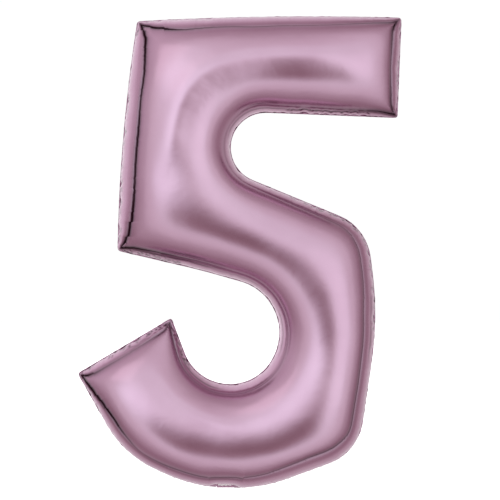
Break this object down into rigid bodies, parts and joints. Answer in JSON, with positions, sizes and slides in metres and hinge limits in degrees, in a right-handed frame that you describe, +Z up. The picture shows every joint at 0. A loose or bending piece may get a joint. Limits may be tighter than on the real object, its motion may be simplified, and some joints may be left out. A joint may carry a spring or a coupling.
{
  "type": "foil number balloon",
  "caption": "Inflated foil balloon in the shape of the digit five, with a heat-sealed rim, a flat self-sealing valve and a folded filling tail.",
  "frame": {"origin": "the neck, where the ribbon is tied, on the lowest edge of the sealed rim, midway between the two panels", "axes": "+Z up along the height of the digit, +X towards its open right side as it is read, the front faces -Y"},
  "size_m": [0.591, 0.15, 0.8604],
  "materials": {
    "panel_film": "satin metallised film, soft mirror finish",
    "seal_band": "heat-sealed metallised film, finely crimped",
    "valve_film": "milky translucent polyethylene film",
    "release_coat": "printed heat-resistant release coat",
    "tail_film": "satin metallised film, soft mirror finish, creased where it is folded"
  },
  "bodies": {
    "envelope": {"front_panel": "panel_film", "back_panel": "panel_film", "weld_seam": "seal_band", "valve_front_ply": "valve_film", "valve_back_ply": "valve_film", "valve_edge_seals": "valve_film", "valve_release_print": "release_coat"},
    "fill_tail": {"tail_front_ply": "tail_film", "tail_back_ply": "tail_film", "tail_edge_weld": "seal_band", "tail_valve_front_ply": "valve_film", "tail_valve_back_ply": "valve_film", "tail_valve_seals": "valve_film"}
  },
  "joints": [
    {"name": "tail_fold", "type": "hinge", "parent": "envelope", "child": "fill_tail", "pos_m": [0, 0, 0.0026], "axis": [-1, 0, 0], "range_deg": [0, 180]}
  ]
}
